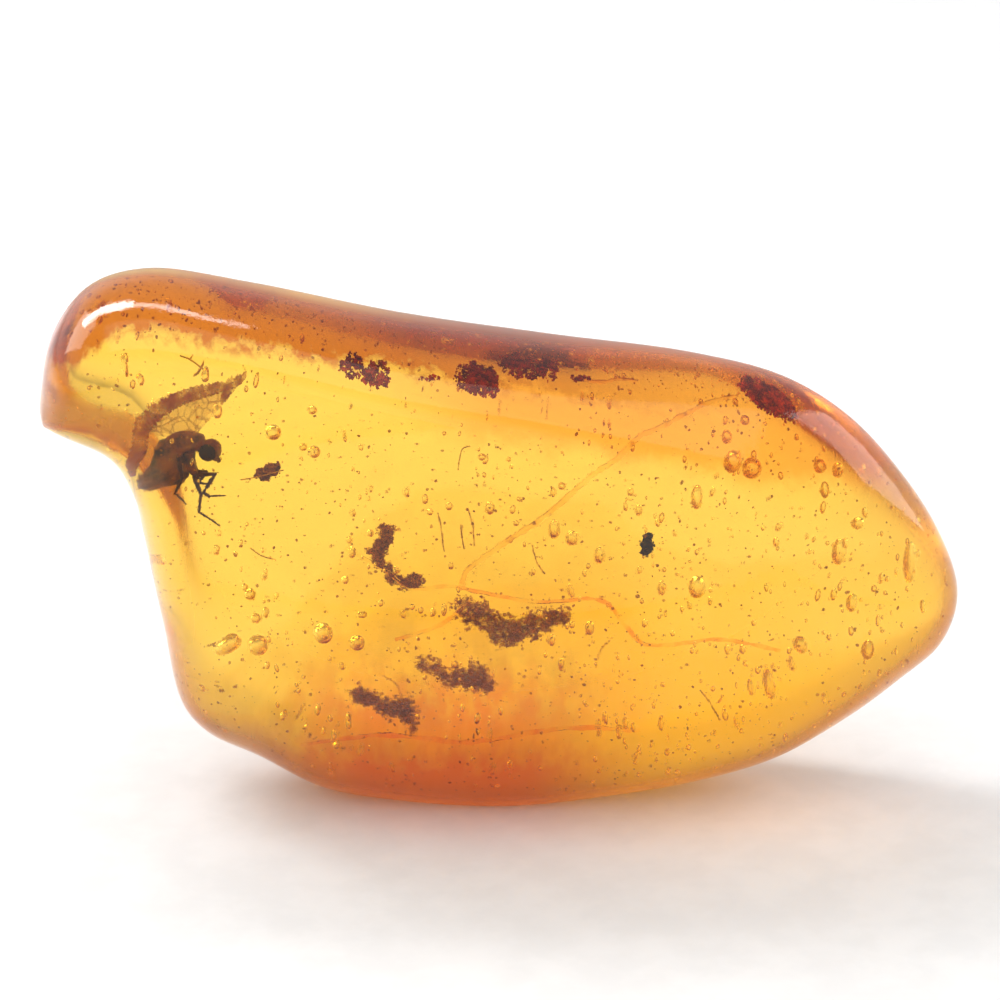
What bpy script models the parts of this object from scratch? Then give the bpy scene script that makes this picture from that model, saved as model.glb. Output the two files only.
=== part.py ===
"""A polished amber pebble with an insect and bits of plant debris sealed in it.

The stone stands on a small flat on its long lower edge. It is parted near its middle into
a front and a back half, and each inclusion lies in a pocket cut from both halves. X runs
along the stone, Y goes from the front face to the back one and Z is up. The origin is on
the surface the stone rests on, under the middle of its length.
"""
import math

import bmesh
import bpy
import numpy as np
from mathutils import Matrix, Vector

MM = 0.001

# The stone, in millimetres. RIM is its outline seen from the front, counterclockwise from
# the tip of the lobe, before the lowest part is cut away to make the flat.
RIM = [(-22.7, 20.0), (-22.0, 19.5), (-20.9, 19.0), (-19.3, 18.2), (-18.3, 16.4),
       (-17.9, 14.7), (-17.5, 12.5), (-17.0, 9.8), (-16.2, 5.5), (-14.9, 3.8),
       (-12.4, 2.4), (-9.2, 0.6), (-5.1, -0.2), (0.0, -0.6), (5.1, 0.0),
       (10.1, 0.9), (14.2, 2.2), (17.7, 4.4), (20.3, 6.5), (22.4, 8.5),
       (23.1, 10.9), (22.0, 14.0), (19.7, 17.3), (17.2, 19.8), (14.1, 21.6),
       (9.6, 22.7), (2.5, 23.5), (-4.9, 24.6), (-12.4, 26.2), (-17.5, 27.0),
       (-20.3, 26.2), (-22.0, 24.1), (-22.6, 21.9)]
RIM_SAMPLES = 1440
STONE_CENTRE = (-5.0, 19.0)     # every point of the rim can be seen from here
FLAT_HEIGHT = 0.5               # how much is ground away at the bottom
HALF_DEPTH = 7.0                # greatest depth of each face from the middle
FACE_DOME = 0.2                 # share of the depth lost far from the fullest point
FULLEST = (0.0, 11.0)
DOME_REACH = (16.0, 9.0)
END_TAPER = 0.15                # share of the depth lost at the right-hand end
ROUND_TOP = 2.8                 # how far in from the rim each stretch stays rounded
ROUND_LEFT = 3.5
ROUND_RIGHT = 7.0
ROUND_BOTTOM = 8.0
BACK_ROUNDER = 1.4
ROUND_POWER = 2.2
SWAY = 2.2                      # how far the middle leans back from bottom to top
SWAY_SPAN = (4.0, 24.0)
SWAY_FORWARD = 0.4
CUBE_CUTS = 17

PARTING_GAP = 0.3
POCKET_GROWTH = 0.62            # how much wider a pocket is than the lump in it

# The inclusions, in millimetres, at (x, y, z) in the finished stone.
HEAD = (-14.2, 0.0, 18.1)
THORAX = (-15.4, 0.0, 18.55)
ABDOMEN = (-16.5, 0.0, 17.7)
LEG_RADIUS = 0.13
WING_THICKNESS = 0.14
FRONT_LEGS = [
    [(-15.2, 17.9), (-15.0, 16.9), (-14.6, 15.9), (-14.7, 15.1), (-13.8, 14.3)],
    [(-15.0, 18.0), (-14.9, 16.8), (-13.9, 16.9), (-14.5, 16.0), (-13.5, 15.8)],
]
HIND_LEG = [(-15.6, 18.0), (-15.5, 16.8), (-15.8, 16.0), (-15.3, 15.5)]
LEG_STANCE = 0.45               # how far a leg stands out to its side of the body
WING = [(-15.5, 18.9), (-17.3, 19.2), (-17.5, 20.1), (-16.4, 21.1), (-15.2, 21.6),
        (-13.8, 21.9), (-12.5, 22.0), (-13.1, 21.2), (-14.1, 20.1), (-14.7, 19.2)]
WING_SPREAD = 0.3               # how far each wing stands from the middle of the body
WING_TILT = 4.0                 # and how far it leans out from there, in degrees

# Each clump of debris is a chain of lumps: (x, y, z, radius).
DEBRIS = {
    "bark_flake": [(-11.6, 0.0, 16.9, 0.34), (-11.2, 0.05, 17.0, 0.38), (-10.9, 0.0, 17.2, 0.25)],
    "dark_grain": [(7.0, 0.0, 12.8, 0.3), (7.1, 0.0, 13.2, 0.34), (7.2, 0.0, 13.6, 0.3)],
    "debris_upper": [(-5.9, 0.0, 12.5, 0.3), (-5.6, 0.1, 13.0, 0.42), (-5.3, 0.0, 13.5, 0.3),
                     (-5.5, 0.0, 13.9, 0.2)],
    "debris_middle": [(-1.7, 0.0, 9.8, 0.35), (-1.0, 0.1, 9.5, 0.45), (-0.2, 0.0, 9.0, 0.5),
                      (0.5, -0.1, 8.5, 0.6), (1.3, 0.0, 8.8, 0.45), (2.1, 0.1, 9.2, 0.4),
                      (2.8, 0.0, 9.4, 0.3)],
    "debris_lower": [(-3.5, 0.0, 7.1, 0.4), (-2.8, 0.1, 6.7, 0.45), (-2.0, 0.0, 6.6, 0.55),
                     (-1.2, 0.0, 6.3, 0.5), (-0.7, 0.1, 6.0, 0.35)],
    "debris_left": [(-7.0, 0.0, 5.6, 0.32), (-6.4, 0.1, 5.3, 0.4), (-5.7, 0.0, 5.2, 0.4),
                    (-5.0, 0.0, 5.4, 0.35), (-4.6, 0.1, 4.9, 0.5), (-4.3, 0.0, 4.3, 0.35)],
}

# Pockets: (centre, radii, turn about Y in degrees). The insect's three pockets overlap.
INSECT_POCKETS = [
    ((-15.5, 0.0, 18.1), (2.75, 1.6, 2.0), 0.0),
    ((-14.5, 0.0, 15.7), (2.35, 1.5, 2.45), 0.0),
    ((-15.0, 0.0, 20.6), (3.9, 1.75, 2.15), -24.0),
]

AMBER_COLOUR = (1.0, 0.56, 0.05, 1.0)
AMBER_IOR = 1.54
INSECT_COLOUR = (0.05, 0.03, 0.012, 1.0)
BARK_COLOUR = (0.16, 0.06, 0.015, 1.0)
GRAIN_COLOUR = (0.02, 0.014, 0.008, 1.0)
PLANT_COLOUR = (0.08, 0.05, 0.015, 1.0)


# --- scene and materials -------------------------------------------------------------------
def clear_scene():
    for old in list(bpy.data.objects):
        bpy.data.objects.remove(old, do_unlink=True)


def new_collection(name):
    group = bpy.data.collections.new(name)
    bpy.context.scene.collection.children.link(group)
    return group


def solid_material(name, colour, roughness):
    material = bpy.data.materials.new(name)
    material.use_nodes = True
    shader = material.node_tree.nodes["Principled BSDF"]
    shader.inputs["Base Color"].default_value = colour
    shader.inputs["Roughness"].default_value = roughness
    return material


def amber_material():
    material = solid_material("clear amber", AMBER_COLOUR, 0.02)
    shader = material.node_tree.nodes["Principled BSDF"]
    shader.inputs["Transmission Weight"].default_value = 1.0
    shader.inputs["IOR"].default_value = AMBER_IOR
    return material


def object_from_bmesh(bm, name, group, material=None):
    mesh = bpy.data.meshes.new(name)
    bm.to_mesh(mesh)
    bm.free()
    mesh.shade_smooth()
    mesh.set_sharp_from_angle(angle=math.radians(40))
    if material:
        mesh.materials.append(material)
    made = bpy.data.objects.new(name, mesh)
    group.objects.link(made)
    return made


def as_cutter(made):
    made.hide_render = True
    made.display_type = "WIRE"
    return made


# --- the stone's surface -------------------------------------------------------------------
def smooth_step(low, high, value):
    t = np.clip((value - low) / (high - low), 0.0, 1.0)
    return t * t * (3.0 - 2.0 * t)


def rim_curve():
    """The rim as RIM_SAMPLES evenly spaced points on a curve through RIM, from +X round."""
    points = np.array(RIM)
    stretches = []
    for i in range(len(points)):
        a, b, c, d = (points[(i + k) % len(points)] for k in (-1, 0, 1, 2))
        t1 = math.dist(a, b) ** 0.5
        t2 = t1 + math.dist(b, c) ** 0.5
        t3 = t2 + math.dist(c, d) ** 0.5
        t = np.linspace(t1, t2, 24, endpoint=False)[:, None]
        ab = a + (b - a) * t / t1
        bc = b + (c - b) * (t - t1) / (t2 - t1)
        cd = c + (d - c) * (t - t2) / (t3 - t2)
        abc = ab + (bc - ab) * t / t2
        bcd = bc + (cd - bc) * (t - t1) / (t3 - t1)
        stretches.append(abc + (bcd - abc) * (t - t1) / (t2 - t1))
    curve = np.vstack(stretches)
    closed = np.vstack([curve, curve[:1]])
    length = np.concatenate([[0.0], np.cumsum(np.linalg.norm(np.diff(closed, axis=0), axis=1))])
    even = np.linspace(0.0, length[-1], RIM_SAMPLES, endpoint=False)
    rim = np.column_stack([np.interp(even, length, closed[:, 0]),
                           np.interp(even, length, closed[:, 1])])
    angle = np.arctan2(rim[:, 1] - STONE_CENTRE[1], rim[:, 0] - STONE_CENTRE[0])
    return np.roll(rim, -int(np.argmin(np.abs(angle))), axis=0)


def rim_at(rim, angle):
    place = angle / (2.0 * math.pi) % 1.0 * RIM_SAMPLES
    low = np.floor(place).astype(int) % RIM_SAMPLES
    part = (place - np.floor(place))[:, None]
    return rim[low] * (1.0 - part) + rim[(low + 1) % RIM_SAMPLES] * part


def nearest_rim(point, rim, along, length_squared):
    t = np.clip(((point - rim) * along).sum(axis=1) / length_squared, 0.0, 1.0)
    return math.sqrt(((rim + along * t[:, None] - point) ** 2).sum(axis=1).min())


def edge_distance(points, rim):
    """Distance in from the rim: exact at the rim, and softened inside so it has no creases.

    The soft distance comes from adding up 1 / distance^5 over the rim.
    """
    along = np.roll(rim, -1, axis=0) - rim
    length_squared = (along ** 2).sum(axis=1)
    step = math.sqrt(length_squared.mean())
    straight_line = math.sqrt(math.pi) * math.gamma(2.0) / math.gamma(2.5)
    result = np.empty(len(points))
    for i, point in enumerate(points):
        squared = np.maximum(((rim - point) ** 2).sum(axis=1), 1e-9)
        soft = ((squared ** -2.5).sum() * step / straight_line) ** -0.25
        if soft < 0.8:
            near = nearest_rim(point, rim, along, length_squared)
            share = smooth_step(0.3, 0.7, near)
            soft = near * (1.0 - share) + soft * share
        result[i] = soft
    return result


def rounding_width(x, z, front):
    left = smooth_step(-12.0, -20.0, x)
    width = ROUND_TOP + (ROUND_RIGHT - ROUND_TOP) * smooth_step(0.0, 22.0, x)
    width += (ROUND_LEFT - width) * left
    width += (ROUND_BOTTOM - width) * smooth_step(15.0, 3.0, z) * (1.0 - left)
    return np.where(front, width, width * BACK_ROUNDER)


def stone_points(directions):
    """Points of the stone's surface, in millimetres, for directions on a unit sphere."""
    rim = rim_curve()
    angle = np.arctan2(directions[:, 2], directions[:, 0])
    reach = np.hypot(directions[:, 0], directions[:, 2])[:, None]
    flat = STONE_CENTRE + reach * (rim_at(rim, angle) - STONE_CENTRE)
    x, z = flat[:, 0], flat[:, 1]
    front = directions[:, 1] < 0.0
    inward = np.minimum(edge_distance(flat, rim) / rounding_width(x, z, front), 1.0)
    profile = np.sqrt(np.maximum(1.0 - (1.0 - inward) ** ROUND_POWER, 0.0))
    full = np.exp(-((x - FULLEST[0]) / DOME_REACH[0]) ** 2
                  - ((z - FULLEST[1]) / DOME_REACH[1]) ** 2)
    depth = HALF_DEPTH * (1.0 - FACE_DOME * (1.0 - full))
    depth *= 1.0 - END_TAPER * smooth_step(5.0, 23.0, x)
    middle = SWAY * (smooth_step(*SWAY_SPAN, z) - SWAY_FORWARD)
    y = middle + np.sign(directions[:, 1]) * depth * profile
    return np.column_stack([x, y, z - FLAT_HEIGHT])


def stone_bmesh():
    """A cube grid blown up to the stone's surface, with the resting flat cut across it."""
    bm = bmesh.new()
    bmesh.ops.create_cube(bm, size=2.0)
    bmesh.ops.subdivide_edges(bm, edges=bm.edges[:], cuts=CUBE_CUTS, use_grid_fill=True)
    cube = np.tan(np.array([vert.co for vert in bm.verts]) * math.pi / 4.0)
    directions = cube / np.linalg.norm(cube, axis=1)[:, None]
    directions[np.abs(directions[:, 1]) < 1e-6, 1] = 0.0
    for vert, place in zip(bm.verts, stone_points(directions) * MM):
        vert.co = place
    bmesh.ops.recalc_face_normals(bm, faces=bm.faces)
    keep_side(bm, (0.0, 0.0, 0.0), (0.0, 0.0, -1.0))
    return bm


def keep_side(bm, point, normal_out):
    """Cut away everything past a plane and close the cut."""
    geometry = bm.verts[:] + bm.edges[:] + bm.faces[:]
    bmesh.ops.bisect_plane(bm, geom=geometry, dist=1e-8, plane_co=point, plane_no=normal_out,
                           clear_outer=True)
    rim_edges = [edge for edge in bm.edges if edge.is_boundary]
    bmesh.ops.holes_fill(bm, edges=rim_edges, sides=0)


# --- inclusions and their pockets ----------------------------------------------------------
def ball(bm, centre, radii, turn=0.0, detail=2):
    """An icosphere stretched to an ellipsoid and turned about Y, in millimetres."""
    place = (Matrix.Translation(Vector(centre) * MM)
             @ Matrix.Rotation(math.radians(turn), 4, "Y")
             @ Matrix.Diagonal((*(Vector(radii) * MM), 1.0)))
    bmesh.ops.create_icosphere(bm, subdivisions=detail, radius=1.0, matrix=place)


def ball_object(name, group, centre, radii, turn=0.0, detail=2):
    bm = bmesh.new()
    ball(bm, centre, radii, turn, detail)
    return object_from_bmesh(bm, name, group)


def mesh_from_curve(curve, name, group, turn=None):
    """A closed mesh from a filled curve, with its caps welded on."""
    drawn = bpy.data.objects.new(name, curve)
    group.objects.link(drawn)
    if turn:
        drawn.matrix_world = turn
    bpy.context.view_layer.update()
    evaluated = drawn.evaluated_get(bpy.context.evaluated_depsgraph_get())
    bm = bmesh.new()
    bm.from_mesh(bpy.data.meshes.new_from_object(evaluated))
    bmesh.ops.transform(bm, matrix=drawn.matrix_world, verts=bm.verts)
    bmesh.ops.remove_doubles(bm, verts=bm.verts, dist=1e-7)
    bmesh.ops.recalc_face_normals(bm, faces=bm.faces)
    bpy.data.objects.remove(drawn)
    bpy.data.curves.remove(curve)
    return object_from_bmesh(bm, name, group)


def poly_curve(name, points, radii, closed=False):
    curve = bpy.data.curves.new(name, "CURVE")
    spline = curve.splines.new("POLY")
    spline.points.add(len(points) - 1)
    for point, place, radius in zip(spline.points, points, radii):
        point.co = (*place, 1.0)
        point.radius = radius
    spline.use_cyclic_u = closed
    return curve


def join_into(base, pieces):
    """Join overlapping closed pieces to the base piece as one solid."""
    union = base.modifiers.new("joined pieces", "BOOLEAN")
    union.operation = "UNION"
    union.solver = "EXACT"
    union.operand_type = "COLLECTION"
    union.collection = pieces


def leg(name, group, path, side):
    """A jointed leg that tapers to its foot and stands out to one side."""
    points = []
    for i, (x, z) in enumerate(path):
        outward = side * LEG_STANCE * (0.5 + 0.25 * min(i, 2))
        points.append(Vector((x, outward, z)) * MM)
    curve = poly_curve(name, points, [0.8 ** i for i in range(len(points))])
    curve.dimensions = "3D"
    curve.bevel_depth = LEG_RADIUS * MM
    curve.bevel_resolution = 1
    curve.use_fill_caps = True
    return mesh_from_curve(curve, name, group)


def wing(name, group, side):
    """A flat wing that stands at a small angle to the body."""
    root = Vector(THORAX) * MM
    points = [Vector((x, z, 0.0)) * MM - Vector((root.x, root.z, 0.0)) for x, z in WING]
    curve = poly_curve(name, points, [1.0] * len(points), closed=True)
    curve.dimensions = "2D"
    curve.fill_mode = "BOTH"
    curve.extrude = WING_THICKNESS * MM / 2.0
    stand = (Matrix.Translation(root + Vector((0.0, side * WING_SPREAD * MM, 0.0)))
             @ Matrix.Rotation(math.radians(90.0 - side * WING_TILT), 4, "X"))
    return mesh_from_curve(curve, name, group, stand)


def insect(group, material):
    pieces = new_collection("insect pieces")
    ball_object("abdomen", pieces, ABDOMEN, (1.15, 0.68, 0.85), turn=-35.0)
    ball_object("head", pieces, HEAD, (0.48, 0.5, 0.46))
    ball_object("neck", pieces, (-14.6, 0.0, 18.3), (0.4, 0.3, 0.3), detail=1)
    ball_object("mouthparts", pieces, (-13.8, 0.0, 17.8), (0.26, 0.18, 0.16), turn=40.0, detail=1)
    for side, word in ((-1, "near"), (1, "far")):
        eye = (HEAD[0] + 0.02, side * 0.3, HEAD[2] + 0.03)
        ball_object(f"{word} eye", pieces, eye, (0.34, 0.28, 0.34))
        for i, path in enumerate(FRONT_LEGS + [HIND_LEG]):
            leg(f"{word} leg {i}", pieces, path, side)
        wing(f"{word} wing", pieces, side)
    body = ball_object("insect", group, THORAX, (1.05, 0.72, 0.78), turn=20.0)
    body.data.materials.append(material)
    join_into(body, pieces)
    for piece in pieces.objects:
        as_cutter(piece)


def filled_chain(lumps):
    """The lumps with one more between each two, so that the chain has no break."""
    chain = [lumps[0]]
    for a, b in zip(lumps, lumps[1:]):
        chain.append(tuple((p + q) / 2.0 for p, q in zip(a, b)))
        chain.append(b)
    return chain


def debris(name, lumps, group, material):
    """A clump of fused lumps."""
    pieces = new_collection(f"{name} lumps")
    first = None
    for i, (x, y, z, radius) in enumerate(filled_chain(lumps)):
        radii = (radius * 1.15, radius * 0.85, radius)
        lump = ball_object(name if i == 0 else f"{name} lump {i}", group if i == 0 else pieces,
                           (x, y, z), radii, turn=37.0 * i, detail=1)
        if i == 0:
            first = lump
            first.data.materials.append(material)
        else:
            as_cutter(lump)
    join_into(first, pieces)


def debris_pocket(name, lumps, group):
    """A pocket around a clump: a larger ball at each of its lumps."""
    for i, (x, y, z, radius) in enumerate(lumps):
        as_cutter(ball_object(f"{name} pocket {i}", group, (x, y, z),
                              (radius + POCKET_GROWTH,) * 3, detail=1))


def cut_pockets(half, pockets):
    cut = half.modifiers.new("pockets", "BOOLEAN")
    cut.operation = "DIFFERENCE"
    cut.solver = "EXACT"
    cut.operand_type = "COLLECTION"
    cut.collection = pockets


def amber_halves(group, pockets):
    material = amber_material()
    for name, side in (("amber_front", -1), ("amber_back", 1)):
        bm = stone_bmesh()
        inner_face = (0.0, side * PARTING_GAP * MM / 2.0, 0.0)
        keep_side(bm, inner_face, (0.0, -side, 0.0))
        cut_pockets(object_from_bmesh(bm, name, group, material), pockets)


def main():
    clear_scene()
    group = new_collection("insect in amber")
    pockets = new_collection("pockets")
    for i, (centre, radii, turn) in enumerate(INSECT_POCKETS):
        as_cutter(ball_object(f"insect pocket {i}", pockets, centre, radii, turn, detail=2))
    colours = {"bark_flake": BARK_COLOUR, "dark_grain": GRAIN_COLOUR}
    for name, lumps in DEBRIS.items():
        material = solid_material(name, colours.get(name, PLANT_COLOUR), 0.8)
        debris(name, lumps, group, material)
        debris_pocket(name, lumps, pockets)
    insect(group, solid_material("insect", INSECT_COLOUR, 0.5))
    amber_halves(group, pockets)


main()
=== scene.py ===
"""The looks of a polished amber pebble with an insect and plant debris sealed in it."""
import math

import bmesh
import bpy
import numpy as np
from mathutils import Matrix, Vector, noise
from mathutils.bvhtree import BVHTree


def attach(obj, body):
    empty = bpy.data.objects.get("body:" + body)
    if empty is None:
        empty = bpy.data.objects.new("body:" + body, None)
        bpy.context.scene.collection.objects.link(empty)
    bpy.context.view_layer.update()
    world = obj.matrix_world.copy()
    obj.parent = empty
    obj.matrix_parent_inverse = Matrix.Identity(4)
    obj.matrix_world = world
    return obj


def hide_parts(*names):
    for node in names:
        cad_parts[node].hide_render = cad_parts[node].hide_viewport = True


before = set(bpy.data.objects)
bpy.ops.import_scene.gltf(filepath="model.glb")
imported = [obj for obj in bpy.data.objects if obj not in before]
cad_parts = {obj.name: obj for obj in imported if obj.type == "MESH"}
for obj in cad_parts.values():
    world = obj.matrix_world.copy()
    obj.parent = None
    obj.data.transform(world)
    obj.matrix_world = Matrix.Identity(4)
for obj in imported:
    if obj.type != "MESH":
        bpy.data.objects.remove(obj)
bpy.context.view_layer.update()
MM = 0.001

# --- the stone, in millimetres -------------------------------------------------------------
RIM = [(-22.7, 20.0), (-22.0, 19.5), (-20.9, 19.0), (-19.3, 18.2), (-18.3, 16.4),
       (-17.9, 14.7), (-17.5, 12.5), (-17.0, 9.8), (-16.2, 5.5), (-14.9, 3.8),
       (-12.4, 2.4), (-9.2, 0.6), (-5.1, -0.2), (0.0, -0.6), (5.1, 0.0),
       (10.1, 0.9), (14.2, 2.2), (17.7, 4.4), (20.3, 6.5), (22.4, 8.5),
       (23.1, 10.9), (22.0, 14.0), (19.7, 17.3), (17.2, 19.8), (14.1, 21.6),
       (9.6, 22.7), (2.5, 23.5), (-4.9, 24.6), (-12.4, 26.2), (-17.5, 27.0),
       (-20.3, 26.2), (-22.0, 24.1), (-22.6, 21.9)]
RIM_SAMPLES = 1440
STONE_CENTRE = (-5.0, 19.0)
FLAT_HEIGHT = 0.5
HALF_DEPTH = 7.0
FACE_DOME = 0.2
FULLEST = (0.0, 11.0)
DOME_REACH = (16.0, 9.0)
END_TAPER = 0.15
ROUND_TOP = 2.8
ROUND_LEFT = 3.5
ROUND_RIGHT = 7.0
ROUND_BOTTOM = 8.0
BACK_ROUNDER = 1.4
ROUND_POWER = 2.2
SWAY = 2.2
SWAY_SPAN = (4.0, 24.0)
SWAY_FORWARD = 0.4
STONE_CUTS = 79
SKIN = 0.03                     # how far the fine stone stays inside the faceted one

AMBER_IOR = 1.54
AIR_IN_AMBER_IOR = 0.65

# --- the view ------------------------------------------------------------------------------
VIEW_ELEVATION = math.radians(22.0)
LENS = 100.0
SENSOR = 36.0
VIEW_SPAN = 50.0                # millimetres across the frame at the aim point
AIM = Vector((0.0, 0.0, 15.132))
VIEW_DISTANCE = VIEW_SPAN * LENS / SENSOR
VIEW_SIZE = 1000.0              # the view's own units: thousandths of its width

# --- the amber's colours, with painted shade and light -------------------------------------
AMBER_ABSORPTION = (0.965, 0.80, 0.03)
AMBER_DENSITY = 55.0                # per metre
CLEAR_TINT = (1.0, 0.66, 0.11)
ORANGE_TINT = (1.0, 0.46, 0.0)
MURK_TINT = (0.72, 0.4, 0.02)
STAIN_TINT = (0.5, 0.17, 0.0)
# Painted light: the red-orange glow low down, from light through the stone and off the floor.
BOTTOM_GLOW_TINT = (0.6, 0.09, 0.0)
# Painted shade: orange where the top shoulder's shade fades out on the right.
UPPER_SHADE_TINT = (0.97, 0.24, 0.0)
# Painted shade: the dark brown the top shoulder shows, where light bends and reflects inside.
SHOULDER_SHADE_TINT = (0.42, 0.06, 0.0)
# Each tint, painted shade and light too, begins and ends at such heights, distances below an edge,
# or reaches along X or in depth, as pairs of where it is nothing and where it is full; a third
# value is its strength.
DEEP_ORANGE_TOP = 13.1                     # height on the surface where the deeper orange begins
DEEP_ORANGE_STEPS = ((3.0, 11.0, 2.7), (-4.0, -14.0, 7.0))  # where it steps down, and by how much
TINT_RAGGED = 1.2
ORANGE_STEPS = ((0.2, 1.2, 0.5), (2.0, 6.0, 0.8))
MURK_BELOW = (0.5, 2.5)
MURK_REACH = (10.0, 2.0)
MURK_AMOUNT = 0.75
STAIN_HEIGHTS = (8.5, 4.5)
STAIN_REACH = (5.0, 0.0)
STAIN_AMOUNT = 0.6
# Painted light: where the red-orange glow low in the stone begins and ends.
RED_HEIGHTS = (6.4, 3.6)
RED_REACH = ((-15.0, -6.0), (10.0, 0.0))
# Painted shade along the top shoulder's right half, where its brown fades to orange.
UPPER_EDGE = (19.8, 21.2)
UPPER_REACH = (-7.0, 1.0)
UPPER_AMOUNT = 0.8
UPPER_RAGGED = 0.8
SHOULDER_EDGE = 22.3                # height of the painted shade band's lower edge at x = 0
SHOULDER_FALL = 0.16                # how much it falls for each millimetre to the right
SHOULDER_END = (-17.0, -22.0, 2.8)  # where the band dips round the left end, and by how much
SHOULDER_BLUR = 0.6
SHOULDER_RAGGED = 0.5
SHOULDER_REACH = (18.0, -6.0)
SHOULDER_DEPTH = (3.0, 1.0)
MATT_BEGINS = (0.0, 1.5)            # the duller rear rounding, in depth
MATT_ENDS = (6.0, 4.5)
MATT_ROUGHNESS = 0.3
# Mottles as how many to a millimetre, and how squashed they are, or drawn out if under 1.
SWIRLS = (0.16, 1.6)
STREAKS = (1.1, 0.22)
CLOUDS = (0.3, 1.0)
BLOTCHES = (0.55, 0.6)
WEAR = 0.004                        # depth of the polished faces' unevenness
MOTTLE_SPREAD = (0.36, 0.64)        # the noise values that read as fully dark and light
VEINS_PER_MM = 1.1
VEIN_EDGE = (0.01, 0.05)
VEIN_TINT = (0.45, 0.2, 0.03)
SMALLNESS = 3.0                     # the higher, the rarer the large ones among strewn grains
WALL_TOP = (0.2, 0.6)             # how far up the walls begin and end to dim
WALL_LIGHT = 0.97
CEILING_LIGHT = 0.52
# Lights as a name, place and size in millimetres, power in watts and the long side's direction.
LIGHTS = [("overhead softbox", (0.0, -150.0, 480.0), (700.0, 500.0), 0.8, (1.0, 0.0, 0.0)),
          ("left softbox", (-420.0, 180.0, 260.0), (260.0, 260.0), 0.5, (1.0, 0.0, 0.0)),
          ("right softbox", (420.0, 180.0, 260.0), (260.0, 260.0), 0.5, (1.0, 0.0, 0.0)),
          ("bright strip", (-140.0, 117.0, 194.0), (155.0, 44.0), 0.3, (1.0, 0.15, 0.6)),
          ("faint strip", (-28.0, 118.0, 242.0), (100.0, 24.0), 0.05, (1.0, 0.0, 0.1))]
BOUNCES = 16

# --- what is sealed in the stone, in millimetres --------------------------------------------
# A polyline is a list of (x, z) in a plane of the stone, or (x, z, radius) where it swells.
HEAD = (-14.1, 0.0, 18.25)
HEAD_RADII = (0.52, 0.46, 0.56)
EYE_OFFSET = (-0.14, 0.32, -0.1)
EYE_RADII = (0.42, 0.24, 0.46)
SNOUT = [(-14.0, 17.85, 0.2), (-13.82, 17.7, 0.14), (-13.72, 17.55, 0.09)]
THORAX = (-15.35, 0.0, 18.6)
THORAX_RADII = (1.05, 0.6, 0.62)
ABDOMEN = (-15.98, 0.0, 17.6)
ABDOMEN_RADII = (0.8, 0.6, 1.2)
ABDOMEN_TURN = math.radians(-8.0)
ABDOMEN_RINGS = 6
NECK = [(-14.75, 18.5, 0.34), (-14.4, 18.3, 0.3)]
HIP = [(-15.15, 18.2, 0.3), (-15.1, 17.5, 0.26), (-14.85, 16.95, 0.17)]
FOLDED_LEG = [(-14.95, 16.95, 0.14), (-13.92, 16.98, 0.1), (-14.5, 16.0, 0.07),
              (-14.2, 15.8, 0.055), (-13.45, 15.82, 0.04)]
STANDING_LEG = [(-14.9, 17.0, 0.14), (-14.6, 15.95, 0.09), (-14.72, 15.05, 0.06),
                (-14.2, 14.65, 0.05), (-13.75, 14.3, 0.04)]
TRAILING_LEG = [(-15.6, 18.0, 0.15), (-15.45, 16.9, 0.1), (-15.8, 16.1, 0.06),
                (-15.3, 15.5, 0.04)]
LEAN = 0.8                      # how far the tail end comes forward for each millimetre
LEAN_MOST = 1.5
LEAN_RISE = 0.29                # how much it rises as it comes forward
LEG_STANCE = 0.45
FAR_LEG_REACH = 0.55            # the far legs are drawn in under the body
WING = [(-15.5, 18.9), (-17.3, 19.2), (-17.5, 20.1), (-16.4, 21.1), (-15.2, 21.6),
        (-13.8, 21.9), (-12.5, 22.0), (-13.1, 21.2), (-14.1, 20.1), (-14.7, 19.2)]
WING_SPREAD = 0.3
WING_TILT = math.radians(4.0)
TORN_FILM = [(-17.15, 17.4, 0.12), (-17.35, 18.3, 0.24), (-17.3, 19.5, 0.4), (-16.8, 20.1, 0.4),
             (-16.1, 20.7, 0.34), (-15.4, 21.1, 0.32), (-14.5, 21.45, 0.32),
             (-13.6, 21.7, 0.26), (-12.9, 21.85, 0.18), (-12.35, 22.0, 0.04)]
TORN_FLAP = [(-13.1, 21.8, 0.22), (-13.35, 21.2, 0.16), (-13.5, 20.8, 0.04)]
TORN_DEPTH = -0.5
REAR_WING = 0.82                # how long the far wing looks beside the near one
BARK_FLAKE = [(-11.55, 16.9, 0.3), (-11.2, 17.05, 0.36), (-10.9, 17.3, 0.16)]
DARK_GRAIN = [(7.02, 12.75, 0.26), (7.08, 13.1, 0.31), (7.12, 13.5, 0.24)]
UPPER_DEBRIS = [(-6.05, 12.6, 0.12), (-5.85, 13.1, 0.17), (-5.5, 13.3, 0.13), (-5.5, 13.8, 0.22)]
UPPER_STREAK = [(-5.9, 12.2, 0.06), (-5.2, 11.4, 0.12), (-4.6, 11.1, 0.2), (-4.0, 11.1, 0.1)]
MIDDLE_DEBRIS = [(-1.7, 9.8, 0.42), (-0.9, 9.5, 0.5), (0.2, 8.6, 0.6), (1.1, 8.7, 0.55),
                 (2.0, 9.2, 0.5), (2.9, 9.4, 0.3)]
LOWER_DEBRIS = [(-3.5, 7.1, 0.38), (-2.4, 6.4, 0.34), (-1.3, 6.5, 0.55), (-0.8, 6.2, 0.4)]
LEFT_DEBRIS = [(-7.0, 5.6, 0.26), (-6.2, 5.3, 0.32), (-5.4, 4.9, 0.3), (-4.7, 5.1, 0.3),
               (-4.4, 4.4, 0.26)]

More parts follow.
